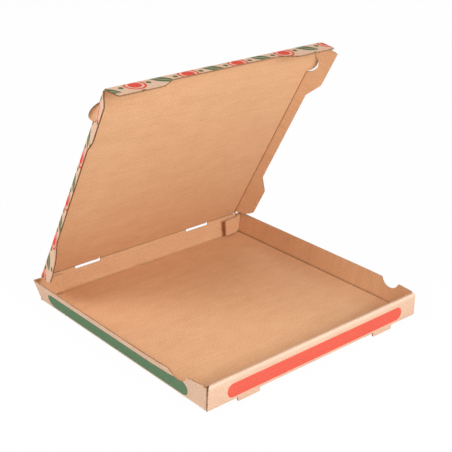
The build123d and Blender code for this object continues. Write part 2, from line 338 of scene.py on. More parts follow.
class PaperBench(NodeBench):
    # a paper in the making: its places on the flat blank, its fibre, flutes and colour so far
    def __init__(self, name, pale, dark):
        self.material = bpy.data.materials.new(name)
        super().__init__(self.material)
        self.place = self.add("ShaderNodeUVMap", uv_map="blank").outputs["UV"]
        parts = self.add("ShaderNodeSeparateXYZ", {"Vector": self.place})
        self.across, self.down = parts.outputs["X"], parts.outputs["Y"]
        layers, tone = {}, 0.0
        for layer, scale, detail, rough, stretch, share in paper["layers"]:
            layers[layer] = self.noise(self.place, scale, detail, rough, stretch)
            tone = self.math("MULTIPLY_ADD", layers[layer], share, tone)
        self.fibre = layers["fibre"]
        self.wave = self.math("SINE", self.math("MULTIPLY", self.down, 2 * math.pi / board["flute"]))
        tone = self.math("MULTIPLY_ADD", self.wave, paper["fluteShare"], tone)
        self.colour = self.blend(self.ramp(tone, *paper["toneSpan"]), pale, dark)

    def speckle(self):
        cells = self.add(
            "ShaderNodeTexVoronoi",
            {"Vector": self.place, "Scale": specks["scale"]},
            feature="F1",
            voronoi_dimensions="2D",
        )
        small = self.math("LESS_THAN", cells.outputs["Distance"], specks["size"])
        pick = self.add("ShaderNodeSeparateColor", {"Color": cells.outputs["Color"]})
        rare = self.math("GREATER_THAN", pick.outputs["Red"], specks["rare"])
        share = self.math("MULTIPLY", self.math("MULTIPLY", small, rare), specks["share"])
        self.colour = self.blend(share, self.colour, kraft["speckTone"])

    def inkOn(self, mask, tone):
        # ink takes unevenly on the fibres
        patchy = self.ramp(self.noise(self.place, *ink["patchNoise"]), *ink["patchSpan"])
        share = self.math("MULTIPLY", self.math("MULTIPLY", mask, patchy), ink["cover"])
        shade = self.ramp(self.fibre, *ink["shadeSpan"])
        self.colour = self.blend(share, self.colour, self.blend(1.0, tone, shade, "MULTIPLY"))

    def finish(self, rough, foldTone, foldShare):
        # folds turn pale outside with wear and dark inside with painted shade, and closed corners (below
        # zero) take painted shade
        crease = self.add("ShaderNodeAttribute", attribute_name="crease").outputs["Fac"]
        folded = self.math("MULTIPLY", self.math("MAXIMUM", crease, 0.0), foldShare)
        closed = self.math("MULTIPLY", self.math("MINIMUM", crease, 0.0), -paper["closedShadeShare"])
        colour = self.blend(closed, self.blend(folded, self.colour, foldTone), kraft["paintedShadeTone"])
        roughEnds = (rough - paper["roughPlay"], rough + paper["roughPlay"])
        height = self.math("MULTIPLY", self.fibre, paper["fibreHeight"])
        height = self.math("MULTIPLY_ADD", self.wave, paper["fluteHeight"], height)
        bump = self.add("ShaderNodeBump", {
            "Strength": paper["bumpStrength"],
            "Distance": paper["bumpDepth"],
            "Height": height,
        })
        surface = self.add("ShaderNodeBsdfPrincipled", {
            "Base Color": colour,
            "Roughness": self.ramp(self.fibre, *paper["roughSpan"], *roughEnds),
            "Specular IOR Level": paper["specular"],
            "Normal": bump.outputs["Normal"],
        })
        self.add("ShaderNodeOutputMaterial", {"Surface": surface.outputs["BSDF"]})
        return self.material


def stadium(bench, across, down, centre, halfLength, radius):
    # one inside a long band with round ends, zero outside
    spare = bench.math("ABSOLUTE", bench.math("SUBTRACT", across, centre[0]))
    spare = bench.math("MAXIMUM", bench.math("SUBTRACT", spare, halfLength - radius), 0.0)
    drop = bench.math("SUBTRACT", down, centre[1])
    edge = bench.math("SUBTRACT", bench.distance(drop, spare), radius)
    return bench.ramp(edge, -ink["edge"], ink["edge"], 1.0, 0.0)


trayPrint = {  # a band's centre on the flat blank, half its length and its radius
    "front": ((1.5 * mm, -175.4 * mm), 138.5 * mm, 8.5 * mm),
    "side": ((2.4 * mm, 175.3 * mm), 136.7 * mm, 9.5 * mm),
}


def makeTrayOuter():
    # a plain red band along the front wall and a green one along each side wall
    bench = PaperBench("kraftOutsideTray", kraft["outerPale"], kraft["outerDark"])
    bench.speckle()
    bench.inkOn(stadium(bench, bench.across, bench.down, *trayPrint["front"]), kraft["red"])
    beside = bench.math("ABSOLUTE", bench.across)
    bench.inkOn(stadium(bench, bench.down, beside, *trayPrint["side"]), kraft["green"])
    return bench.finish(paper["outerRough"], kraft["wearAndHighlightTone"], paper["wearAndHighlightShare"])


lidPrint = {
    "pitch": 36.0 * mm,
    "halfCell": 0.5,  # this and the rest are shares of the pitch
    "discRadius": 0.36,
    "ringRadius": 0.25,
    "ringWidth": 0.035,
    "leafReach": 0.67,
    "leafOffset": 0.34,
    "veinHalf": 0.02,
    "dotRadius": 0.085,
}


def makeLidOuter():
    # a chequer of round slices in red and leaves in green, with small dots between
    bench = PaperBench("kraftOutsideLid", kraft["outerPale"], kraft["outerDark"])
    bench.speckle()
    row = bench.math("DIVIDE", bench.down, lidPrint["pitch"])
    column = bench.math("DIVIDE", bench.across, lidPrint["pitch"])
    cell = bench.math("ADD", bench.math("FLOOR", row), bench.math("FLOOR", column))
    odd = bench.math("FLOORED_MODULO", cell, 2.0)
    half = lidPrint["halfCell"]
    x = bench.math("SUBTRACT", bench.math("FRACT", column), half)
    y = bench.math("SUBTRACT", bench.math("FRACT", row), half)
    soft = ink["edge"] / lidPrint["pitch"]

    def disc(centreX, centreY, radius):
        away = bench.distance(bench.math("SUBTRACT", x, centreX), bench.math("SUBTRACT", y, centreY))
        return bench.ramp(away, radius - soft, radius + soft, 1.0, 0.0), away

    def offLine(distance, width):
        return bench.ramp(bench.math("ABSOLUTE", distance), width - soft, width + soft)

    whole, away = disc(0.0, 0.0, lidPrint["discRadius"])
    ring = offLine(bench.math("SUBTRACT", away, lidPrint["ringRadius"]), lidPrint["ringWidth"])
    isSlice = bench.math("SUBTRACT", 1.0, odd)
    bench.inkOn(bench.math("MULTIPLY", bench.math("MULTIPLY", whole, ring), isSlice), kraft["lidRed"])
    offset = lidPrint["leafOffset"]
    one, _ = disc(offset, -offset, lidPrint["leafReach"])
    two, _ = disc(-offset, offset, lidPrint["leafReach"])
    vein = offLine(bench.math("SUBTRACT", x, y), lidPrint["veinHalf"])
    green = bench.math("MULTIPLY", bench.math("MULTIPLY", one, two), bench.math("MULTIPLY", vein, odd))
    for spotX, spotY in ((half, 0.0), (-half, 0.0), (0.0, half), (0.0, -half)):
        green = bench.math("MAXIMUM", green, disc(spotX, spotY, lidPrint["dotRadius"])[0])
    bench.inkOn(green, kraft["lidGreen"])
    return bench.finish(paper["outerRough"], kraft["wearAndHighlightTone"], paper["wearAndHighlightShare"])


def makePlain(name, pale, dark, rough, speckled):
    bench = PaperBench(name, pale, dark)
    if speckled:
        bench.speckle()
    # folds on the inner faces and cut edges darken: painted shade
    return bench.finish(rough, kraft["paintedShadeTone"], paper["foldShare"])


inner = makePlain("kraftInside", kraft["innerPale"], kraft["innerDark"], paper["innerRough"], True)
trayRaw = makePlain("trayCutEdges", kraft["edgePale"], kraft["edgeDark"], paper["rawRough"], False)
# darker cut edges on the lid pieces: painted shade
lidRawShaded = makePlain("lidCutEdgesPaintedShade", kraft["lidEdgeShadedPale"], kraft["lidEdgeShadedDark"], paper["rawRough"], False)
trayFinishes = [makeTrayOuter(), inner, trayRaw]
lidFinishes = [makeLidOuter(), inner, lidRawShaded]
print("finishes made:", len(bpy.data.materials))


# the tray: base with side walls, rolled front wall, back wall, feet and front corner flaps

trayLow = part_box("tray")[0]
tray = {
    "front": float(trayLow.y),
    "half": 165.0 * mm,
    "height": 30.0 * mm,
    "sideLean": math.radians(15.0),
    "backLean": math.radians(9.0),
    "leanRunShare": 0.3,  # share of the side wall along which its lean grows
    "sideBack": 160.5 * mm,
    "shearRun": 90.0 * mm,
    "rollDepth": 5.3 * mm,
    "layer": 1.85 * mm,
    "wallEnd": 164.6 * mm,
    "topRound": 2.5 * mm,
    "cornerGape": 2.0 * mm,  # how far the front wall's left end stands off at the top
    "footCentre": 106.5 * mm,
    "slotHalf": 16.5 * mm,
    "footHalf": 16.0 * mm,
    "footRound": 1.5 * mm,
    "footBottom": float(trayLow.z),
    "slotBack": 5.55 * mm,
    "thumb": 44.0 * mm,  # from the front face
    "notchRadius": 16.25 * mm,
    "notchDepth": 10.0 * mm,
    "slitCentre": 91.0 * mm,
    "slitHalf": 19.5 * mm,
    "slitDrop": 3.0 * mm,
    "flapRun": 34.0 * mm,
    "endFine": 2.0 * mm,  # closer rows at the base's ends and round the notches
    "endSteps": 6,
    "notchStep": 0.5 * mm,
}
trayWearAndPaintedLight = {  # widths and strengths of the marks along the folds: painted shade inside, pale wear outside, and a painted highlight down the front wall's top
    "sideFold": 0.9 * mm,
    "endFold": 0.8 * mm,
    "endInset": 0.5 * mm,
    "endShare": 0.8,
    "backShare": 0.7,
    "lowEdge": 0.7 * mm,
    "lowShare": 0.6,
    "topHighlight": 3.5 * mm,  # painted highlight down the front wall from its top edge
    "topRim": 0.4 * mm,
    "topShade": 0.22,
    "cornerPast": 2.16 * mm,  # from the corner's bend to the darkest place of its painted shade
    "cornerOut": 1.1 * mm,
    "cornerIn": 4.0 * mm,
}
columnShares = {  # where columns stand on the side walls, their folds and half the base
    "fluteWall": [0.5, 1.0],
    "fluteFold": [0.0, 0.5, 1.0],
    "linerWall": [0.1, 0.3, 0.65, 1.0],
    "linerFold": np.linspace(0, 1, board["foldSteps"]),
    "middle": [0.02],
    "quarter": [0.3],
    "edge": [0.93, 0.98, 0.99],
}
flatHalf = tray["half"] - board["foldOuter"]
sideFront = tray["front"] + tray["rollDepth"]
wallRun = tray["height"] - board["foldOuter"]
slotEnd = tray["front"] + tray["slotBack"]
footInner = tray["footCentre"] - tray["slotHalf"]
footOuter = tray["footCentre"] + tray["slotHalf"]
slitNear = tray["slitCentre"] - tray["slitHalf"]
slitFar = tray["slitCentre"] + tray["slitHalf"]
thumbAt = tray["front"] + tray["thumb"]


def atFoot(across):
    return np.abs(np.abs(across) - tray["footCentre"]) < tray["slotHalf"]


def atSlit(across):
    return np.abs(np.abs(across) - tray["slitCentre"]) < tray["slitHalf"]


def roundIn(past, radius):
    # how far a round corner draws in, past the start of its arc
    return radius - np.sqrt(np.maximum(radius**2 - np.maximum(past, 0) ** 2, 0))


def leanAt(along):
    share = np.clip((along - sideFront) / (tray["leanRunShare"] * (tray["sideBack"] - sideFront)), 0, 1)
    return tray["sideLean"] * (1 - (1 - share) ** 2)


def placeBase(along, across, lift):
    # flat base, then round the side fold and up the leaning wall
    past = np.abs(across) - flatHalf
    rise = quarter - leanAt(along)
    turn = np.clip(past / foldMid, 0, rise)
    run = np.maximum(past - foldMid * rise, 0)
    x = np.where(past < 0, np.abs(across), flatHalf + foldMid * np.sin(turn) + run * np.cos(rise))
    z = board["foldOuter"] - foldMid * np.cos(turn) + run * np.sin(rise)
    x = np.sign(across) * (x + np.sin(turn) * lift)
    z = z - np.cos(turn) * lift
    ramp = np.clip(1 - (tray["sideBack"] - along) / tray["shearRun"], 0, 1) ** 2
    y = along + ramp * math.tan(tray["backLean"]) * np.maximum(z - halfThick, 0) * (past > 0)
    return np.stack([x, y, z], -1)


def wallTop(along):
    # place on the blank of a side wall's top edge, down in the thumb notch
    rise = quarter - leanAt(along)
    away = along - thumbAt
    inNotch = np.abs(away) < tray["notchRadius"]
    centre = tray["height"] + tray["notchRadius"] - tray["notchDepth"]
    z = centre - np.sqrt(np.maximum(tray["notchRadius"] ** 2 - away**2, 0))
    low = (z - board["foldOuter"] + foldMid * np.cos(rise)) / np.sin(rise)
    run = np.where(inNotch, np.minimum(wallRun, low), wallRun)
    return flatHalf + foldMid * rise + run


def baseColumns(wallShares, foldShares, baseShares):
    def columns(along):
        rise = (quarter - leanAt(along))[:, None] * foldMid
        top = wallTop(along)[:, None]
        foldEnd = flatHalf + rise
        wall = foldEnd + (top - foldEnd) * np.array(wallShares)[None]
        fold = flatHalf + rise * np.array(foldShares)[None]
        flat = sameColumns(along, flatHalf * np.array(baseShares))
        return mirrored(np.concatenate([flat, fold, wall], 1))
    return columns


def keepBase(along, across):
    onWall = (along > sideFront) & (along < tray["sideBack"])
    inSlot = (along < slotEnd) & atFoot(across)
    return (onWall | (np.abs(across) < flatHalf)) & ~inSlot


def creaseBase(along, across):
    # painted shade along the inner folds, pale wear along the outer ones
    sideFold = near(np.abs(across) - flatHalf - foldMid, trayWearAndPaintedLight["sideFold"])
    endFold = near(np.abs(along) - flatHalf - trayWearAndPaintedLight["endInset"], trayWearAndPaintedLight["endFold"])
    return np.maximum(sideFold, trayWearAndPaintedLight["endShare"] * endFold)


footEdges = [footInner / flatHalf, footOuter / flatHalf]
baseMarks = [slotEnd, sideFront, tray["sideBack"]]
trayStore = newStore()
addBoard(
    trayStore,
    fluteRows(-flatHalf, flatHalf, baseMarks),
    baseColumns(columnShares["fluteWall"], columnShares["fluteFold"], columnShares["middle"] + footEdges),
    placeBase,
    keepBase,
    creaseBase,
    rowsBetween(
        -flatHalf,
        flatHalf,
        np.linspace(-flatHalf, -flatHalf + tray["endFine"], tray["endSteps"]),
        np.linspace(flatHalf - tray["endFine"], flatHalf, tray["endSteps"]),
        np.arange(-flatHalf, flatHalf, board["linerStep"]),
        np.arange(thumbAt - tray["notchRadius"], thumbAt + tray["notchRadius"], tray["notchStep"]),
        baseMarks,
    ),
    baseColumns(
        columnShares["linerWall"],
        columnShares["linerFold"],
        columnShares["middle"] + columnShares["quarter"] + footEdges + columnShares["edge"],
    ),
)


def foldPath(start, heading, outerTurn, moves):
    # a folded section: straight runs and bends along the middle of the board
    legs, place, total = [], np.array(start, float), 0.0
    for kind, amount in moves:
        course = np.array([math.cos(heading), math.sin(heading)])
        length = amount if kind == "run" else abs(amount) * foldMid
        legs.append((total, length, kind, amount, place, heading))
        if kind == "run":
            place = place + course * amount
        else:
            side = math.copysign(1, amount)
            centre = place + np.array([-course[1], course[0]]) * side * foldMid
            heading += amount
            place = centre - np.array([-math.sin(heading), math.cos(heading)]) * side * foldMid
        total += length
    return {"legs": legs, "length": total, "outerTurn": outerTurn}


def walkPath(path, distance):
    # places along the middle of the board and the way its outer face looks there
    place = np.zeros(distance.shape + (2,))
    look = np.zeros(distance.shape + (2,))
    for first, length, kind, amount, start, heading in path["legs"]:
        on = distance >= first - hair
        step = np.clip(distance - first, 0, length)
        side = math.copysign(1, amount)
        angle = heading + (np.zeros_like(step) if kind == "run" else side * step / foldMid)
        course = np.stack([np.cos(angle), np.sin(angle)], -1)
        left = np.stack([-course[..., 1], course[..., 0]], -1)
        if kind == "run":
            here = start + course * step[..., None]
        else:
            begin = np.array([-math.sin(heading), math.cos(heading)])
            here = start + (begin - left) * side * foldMid
        place = np.where(on[..., None], here, place)
        look = np.where(on[..., None], left * path["outerTurn"], look)
    return place, look


def placeSection(path, distance, across, lift):
    # a folded section that runs straight from side to side
    place, look = walkPath(path, distance)
    return np.stack([across, place[..., 0] + look[..., 0] * lift, place[..., 1] + look[..., 1] * lift], -1)


rollPath = foldPath((-flatHalf, halfThick), math.pi, 1, [
    ("bend", -quarter),
    ("run", tray["height"] - 2 * board["foldOuter"]),
    ("bend", -quarter),
    ("run", tray["rollDepth"] - 2 * board["foldOuter"]),
    ("bend", -quarter),
    ("run", wallRun - tray["layer"]),
])
rollBends = [first + length / 2 for first, length, kind, *_ in rollPath["legs"] if kind == "bend"]
rollEnd = -flatHalf - rollPath["length"]
footStart = -flatHalf - foldMid * quarter
footRun = board["foldOuter"] - tray["footBottom"]


def placeRoll(along, across, lift):
    return placeSection(rollPath, -flatHalf - along, across, lift)


def rollColumns(along):
    place, look = walkPath(rollPath, -flatHalf - along)
    high = place[:, 1] + look[:, 1] * halfThick - (tray["height"] - tray["topRound"])
    end = (tray["wallEnd"] - roundIn(high, tray["topRound"]))[:, None]
    gape = (tray["cornerGape"] * np.clip(place[:, 1] / tray["height"], 0, 1))[:, None]
    feet = mirrored(sameColumns(along, [footInner, footOuter]))
    return np.concatenate([gape - end, feet, end], 1)


def keepRoll(along, across):
    return ~((along > footStart) & atFoot(across))


def creaseRoll(along, across):
    # a painted highlight down the front from the top edge, pale wear outside and painted shade inside along
    # the low edge, warmer on top of the roll
    distance = -flatHalf - along
    low, topOuter, topInner = rollBends
    onTop = (distance > topOuter) & (distance < topInner)
    fade = np.where(distance < topOuter, trayWearAndPaintedLight["topHighlight"], trayWearAndPaintedLight["topRim"])
    lowEdge = trayWearAndPaintedLight["lowShare"] * near(distance - low, trayWearAndPaintedLight["lowEdge"])
    return np.maximum(lowEdge, near(distance - topOuter, fade)) - trayWearAndPaintedLight["topShade"] * onTop


rollFine = np.concatenate([
    np.linspace(first, first + length, board["foldSteps"] if kind == "bend" else board["runSteps"])
    for first, length, kind, *_ in rollPath["legs"]
])
addBoard(
    trayStore,
    fluteRows(rollEnd, -flatHalf, [footStart]),
    rollColumns,
    placeRoll,
    keepRoll,
    creaseRoll,
    np.unique(np.round(-flatHalf - rollFine, decimals)),
)


def placeFoot(along, across, lift):
    z = board["foldOuter"] - (along - footStart)
    return np.stack([across, tray["front"] + halfThick - lift + 0 * z, z], -1)


def footColumns(centre):
    def columns(along):
        low = along - footStart - footRun + tray["footRound"]
        half = (tray["footHalf"] - roundIn(low, tray["footRound"]))[:, None]
        return centre + mirrored(half)
    return columns


def placeLock(along, across, lift):
    z = tray["layer"] - (rollEnd - along)
    return np.stack([across, sideFront - halfThick + lift, z], -1)


def lockColumns(centre):
    def columns(along):
        return sameColumns(along, [centre - tray["footHalf"], centre + tray["footHalf"]])
    return columns


for centre in (-tray["footCentre"], tray["footCentre"]):
    addBoard(trayStore, fluteRows(footStart, footStart + footRun), footColumns(centre), placeFoot)
    addBoard(trayStore, fluteRows(rollEnd - tray["layer"], rollEnd), lockColumns(centre), placeLock)

backPath = foldPath((flatHalf, halfThick), 0.0, -1, [
    ("bend", quarter - tray["backLean"]),
    ("run", 2 * tray["height"]),  # past the hinge, where the rows stop
])
backBend = foldMid * (quarter - tray["backLean"])
bendPlace, _ = walkPath(backPath, np.array([backBend]))
backRun = float(np.linalg.norm(hinge[1:] - bendPlace[0]))
wallFoot = flatHalf + backBend
hingeAt = wallFoot + backRun  # the hinge fold's place on the blank
backTop = hingeAt - board["freeGap"]
backMarks = [hingeAt - reach, backTop - tray["slitDrop"], backTop]
backEdges = [slitNear, slitFar, lidEdge, tray["wallEnd"]]


def placeBack(along, across, lift):
    return placeSection(backPath, along - flatHalf, across, lift)


def backColumns(along):
    return mirrored(sameColumns(along, backEdges))


def keepBack(along, across):
    below = hingeAt - along
    inSlit = (below < board["freeGap"] + tray["slitDrop"]) & atSlit(across)
    return ~inSlit & ((below > reach) | (np.abs(across) > lidEdge))


def creaseBack(along, across):
    # painted shade inside the back fold, pale wear outside
    return trayWearAndPaintedLight["backShare"] * near(along - flatHalf - backBend / 2, trayWearAndPaintedLight["endFold"])


addBoard(
    trayStore,
    fluteRows(flatHalf, backTop, backMarks),
    backColumns,
    placeBack,
    keepBack,
    creaseBack,
    rowsBetween(
        flatHalf,
        backTop,
        np.linspace(flatHalf, wallFoot, board["foldSteps"]),
        np.linspace(wallFoot, backTop, board["runSteps"]),
        backMarks,
    ),
)

cornerTurn = tray["rollDepth"] - tray["layer"] - board["foldOuter"]
cornerPath = foldPath((tray["half"] - halfThick, -sideFront), quarter, -1, [
    ("run", cornerTurn),
    ("bend", quarter),
    ("run", tray["flapRun"] - board["foldOuter"]),
])


def placeFrontCorner(side):
    def place(along, across, lift):
        spot, look = walkPath(cornerPath, sideFront - along)
        x = side * (spot[..., 0] + look[..., 0] * lift)
        return np.stack([x, -(spot[..., 1] + look[..., 1] * lift), across], -1)
    return place


def frontCornerColumns(along):
    return sameColumns(along, [tray["layer"], tray["height"] - tray["layer"]])


def paintedShadeFrontCorner(along, across):
    # painted shade in the gap at the front corner, darkest just past the bend
    past = sideFront - cornerTurn - trayWearAndPaintedLight["cornerPast"] - along
    return -near(past, np.where(past < 0, trayWearAndPaintedLight["cornerOut"], trayWearAndPaintedLight["cornerIn"]))


cornerRows = fluteRows(sideFront - cornerPath["length"], sideFront)
for side in (-1, 1):
    addBoard(trayStore, cornerRows, frontCornerColumns, placeFrontCorner(side), crease=paintedShadeFrontCorner)

trayPiece = makePiece("tray_board", trayStore, trayFinishes)
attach(trayPiece, "tray")
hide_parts("tray")
print("tray folded:", len(trayPiece.data.polygons), "faces")


# the lid panel with its thumb tabs and hook cuts

lid = {
    "tabPlace": float(hinge[1]) - thumbAt,
    "tabRadius": 14.342 * mm,
    "tabDepth": 9.5 * mm,
    "tabKerf": 0.7 * mm,
    "tabRoot": 156.0 * mm,  # where the columns through the tabs start
    "tabColumns": 8,
    "tabStep": 0.4 * mm,
    "rightTabBend": math.radians(26.0),
    "tabBendRun": 4.0 * mm,
    "hookWide": 2.6 * mm,
    "hookTall": 3.0 * mm,
    "bow": 1.2 * mm,  # the panel's soft crown
    "gridHalf": 150.0 * mm,
    "gridColumns": 9,
    "endPlay": 1.5 * mm,
    "creaseStart": 1.3 * mm,  # the side folds run on past the flaps' roots
}
tabCentre = lidHalf + lid["tabDepth"] - lid["tabRadius"]
holeRadius = lid["tabRadius"] + lid["tabKerf"]
holeHalf = math.sqrt(holeRadius**2 - (lid["tabRadius"] - lid["tabDepth"]) ** 2)
holeEnds = [lid["tabPlace"] - holeHalf, lid["tabPlace"] + holeHalf]
flapEnd = lidLength - halfThick - lid["endPlay"]
sideSpans = [(lid["creaseStart"], holeEnds[0]), (holeEnds[1], flapEnd)]
lidEnd = lidLength - reach


def lidReach(along):
    # how far the lid runs out from its middle at each place along it
    creased = np.zeros(along.shape, bool)
    for first, last in sideSpans:
        creased |= (along > first) & (along < last)
    away = along - lid["tabPlace"]
    tab = tabCentre + np.sqrt(np.maximum(lid["tabRadius"] ** 2 - away**2, 0))
    free = np.where(np.abs(away) < lid["tabRadius"], np.maximum(lidEdge, tab), lidEdge)
    return np.where(creased, lidHalf - reach, free)


slitEdges = np.array([-slitFar, -slitNear, slitNear, slitFar])
hookHalf = lid["hookWide"] / 2
hookAt = [slitEdges[1] - hookHalf, slitEdges[3] - hookHalf]  # at the right end of each slit
hookEdges = bothSides(hookAt, hookHalf)


def lidColumns(gridColumns):
    grid = np.linspace(-lid["gridHalf"], lid["gridHalf"], gridColumns)
    marks = np.unique(np.round(np.concatenate([hookEdges, slitEdges, grid]), decimals))

    def columns(along):
        far = lidReach(along - hingeAt)[:, None]
        edge = lid["tabRoot"] + (far - lid["tabRoot"]) * np.linspace(0, 1, lid["tabColumns"])
        return mirrored(edge, sameColumns(along, marks))
    return columns


def placeLid(along, across, lift):
    run = along - hingeAt
    sideBow = np.clip(1 - (across / lidHalf) ** 2, 0, 1)
    longBow = np.clip(4 * run * (lidLength - run) / lidLength**2, 0, 1)
    out = lift + lid["bow"] * sideBow * longBow
    past = np.maximum(across - lidHalf, 0)
    bend = lid["rightTabBend"] * np.clip(past / lid["tabBendRun"], 0, 1)
    reachOut = across - past * (1 - np.cos(bend)) + out * np.sin(bend)
    out = out * np.cos(bend) - past * np.sin(bend)
    return hinge + run[..., None] * lidAlong + reachOut[..., None] * right + out[..., None] * lidOut


def keepLid(along, across):
    run = along - hingeAt
    overHook = np.any([np.abs(across - place) < hookHalf for place in hookAt], axis=0)
    inHook = (run < lid["hookTall"]) & overHook
    return ~inHook & ((run > reach) | atSlit(across))


lidMarks = bothSides([end for span in sideSpans for end in span]) + [reach, lid["hookTall"]]
lidLinerRows = rowsBetween(
    0,
    lidEnd,
    np.linspace(0, lidEnd, int(lidLength / board["linerStep"])),
    np.arange(lid["tabPlace"] - lid["tabRadius"], lid["tabPlace"] + lid["tabRadius"], lid["tabStep"]),
    lidMarks,
)
lidStore = newStore()
addBoard(
    lidStore,
    fluteRows(0, lidEnd, lidMarks) + hingeAt,
    lidColumns(0),
    placeLid,
    keepLid,
    linerRows=lidLinerRows + hingeAt,
    linerColumns=lidColumns(lid["gridColumns"]),
)
lidPiece = makePiece("lid_board", lidStore, lidFinishes)
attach(lidPiece, "lid")
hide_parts("lid_panel")
print("lid cut:", len(lidPiece.data.polygons), "faces")


# the lid's tuck flaps

flap = {
    "wide": 25.0 * mm,
    "narrow": 13.3 * mm,
    "round": 3.0 * mm,
    "cutShare": 0.8,  # how much of a corner its arc takes
    "legShare": 1 / 2.2,
    "arcSteps": 7,
    "columnShares": [0.0, 0.5, 1.0],
    "root": 5.8 * mm,
    "start": 12.0 * mm,
    "startWide": 17.0 * mm,
    "startSlant": 9.0 * mm,
    "backRun": 54.0 * mm,
    "taperRun": 20.0 * mm,
    "flareRun": 24.0 * mm,
    "frontRun": 52.0 * mm,
    "sideFold": math.radians(60.0),
    "leftTwistRuns": np.array([12.0, 40.0, 75.0, 150.0, 280.0, 320.0]) * mm,
    "leftTwist": np.radians([17.0, 15.0, 7.0, 5.0, 1.0, 0.0]),  # further in, towards the hinge
    "twistBlur": 20.0 * mm,
    "blurSteps": 9,
    "frontFold": math.radians(64.8),
    "frontWideRun": 61.0 * mm,
    "frontFlareRun": 20.0 * mm,
    "frontSlant": 2.0 * mm,
    "frontTwist": np.radians([-0.5, 0.5]),  # at the left and right ends
}


def roundedOutline(corners):
    # corner points with short arcs in place of sharp turns
    points = [np.array(corners[0])]
    for before, corner, after in zip(corners, corners[1:], corners[2:]):
        before, corner, after = np.array(before), np.array(corner), np.array(after)
        one, two = before - corner, after - corner
        oneLong, twoLong = np.linalg.norm(one), np.linalg.norm(two)
        cut = min(flap["round"] * flap["cutShare"], oneLong * flap["legShare"], twoLong * flap["legShare"])
        first, last = corner + one / oneLong * cut, corner + two / twoLong * cut
        for share in np.linspace(0, 1, flap["arcSteps"]):
            points.append((1 - share) ** 2 * first + 2 * share * (1 - share) * corner + share**2 * last)
    points.append(np.array(corners[-1]))
    return np.array(points)


taperStart = flap["start"] + flap["backRun"]
flareEnd = flapEnd - flap["frontRun"]
sideOutline = roundedOutline([
    (flap["root"], reach),
    (flap["start"], flap["startWide"]),
    (flap["start"] + flap["startSlant"], flap["wide"]),
    (taperStart, flap["wide"]),
    (taperStart + flap["taperRun"], flap["narrow"]),
    (flareEnd - flap["flareRun"], flap["narrow"]),
    (flareEnd, flap["wide"]),
    (flapEnd, flap["wide"]),
    (flapEnd + tiny, reach),
])


def foldedOut(flat, fold):
    # a flap's own direction away from its fold, and the way its outer face looks
    turn = np.asarray(fold)[..., None]
    return flat * np.cos(turn) - lidOut * np.sin(turn), flat * np.sin(turn) + lidOut * np.cos(turn)


def sideLay(side, run):
    # the left flap has sprung out of flat
    fold = flap["sideFold"] + np.zeros(np.shape(run))
    if side < 0:
        steps = np.linspace(-flap["twistBlur"], flap["twistBlur"], flap["blurSteps"])
        twists = [np.interp(run + step, flap["leftTwistRuns"], flap["leftTwist"]) for step in steps]
        fold = fold + np.mean(twists, axis=0)
    return foldedOut(right * side, fold)


def sideColumns(side):
    def columns(along):
        run = along - hingeAt
        away = run - lid["tabPlace"]
        hole = lid["tabDepth"] - lid["tabRadius"] + np.sqrt(np.maximum(holeRadius**2 - away**2, 0))
        start = np.where(np.abs(away) < holeHalf, np.maximum(hole, 0), reach)[:, None]
        width = np.interp(run, sideOutline[:, 0], sideOutline[:, 1])[:, None]
        across = lidHalf + start + (width - start) * np.array(flap["columnShares"])[None]
        return across if side > 0 else -across[:, ::-1]
    return columns


def placeSide(side):
    def place(along, across, lift):
        run = along - hingeAt
        away, look = sideLay(side, run)
        root = hinge + right * side * lidHalf + run[..., None] * lidAlong
        return root + (np.abs(across) - lidHalf)[..., None] * away + lift[..., None] * look
    return place


sideFlaps = ((-1, "left_flap", "lid_left_flap"), (1, "right_flap", "lid_right_flap"))
sideRows = fluteRows(flap["root"], flapEnd, sideOutline[:, 0], bothSides(holeEnds))
for side, body, node in sideFlaps:
    store = newStore()
    addBoard(store, sideRows + hingeAt, sideColumns(side), placeSide(side))
    piece = makePiece(body + "_board", store, lidFinishes)
    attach(piece, body)
    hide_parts(node)

frontHalf = lidHalf + halfThick
frontFoldAt = hingeAt + lidLength
flareOut = frontHalf - flap["frontWideRun"]
frontEnd = roundedOutline([
    (0.0, frontHalf),
    (flap["wide"], frontHalf - flap["frontSlant"]),
    (flap["wide"] + tiny, frontHalf - flap["frontWideRun"] / 2),
])


def frontLay(across):
    # the front flap is folded in a little further at its right end
    share = np.clip((across + frontHalf) / (2 * frontHalf), 0, 1)
    twist = (1 - share) * flap["frontTwist"][0] + share * flap["frontTwist"][1]
    return foldedOut(lidAlong, flap["frontFold"] + twist)


def frontColumns(along):
    width = along - frontFoldAt
    end = np.interp(width, frontEnd[:, 0], frontEnd[:, 1])
    share = np.clip((width - flap["narrow"]) / (flap["wide"] - flap["narrow"]), 0, 1)
    waist = flareOut - flap["frontFlareRun"] * (1 - share)
    return mirrored(np.stack([waist, (end + waist) / 2, end], 1))


def placeFront(along, across, lift):
    width = (along - frontFoldAt)[..., None]
    away, look = frontLay(across)
    return frontFold + across[..., None] * right + width * away + lift[..., None] * look


def keepFront(along, across):
    width = along - frontFoldAt
    return (width < flap["narrow"]) | (np.abs(across) > flareOut - flap["frontFlareRun"])


frontRows = fluteRows(reach, flap["wide"], [flap["narrow"]], frontEnd[:, 0])
frontStore = newStore()
addBoard(frontStore, frontRows + frontFoldAt, frontColumns, placeFront, keepFront)
frontPiece = makePiece("front_flap_board", frontStore, lidFinishes)
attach(frontPiece, "front_flap")
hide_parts("lid_front_flap")
print("tuck flaps cut")


# the loose corner flaps behind the side walls

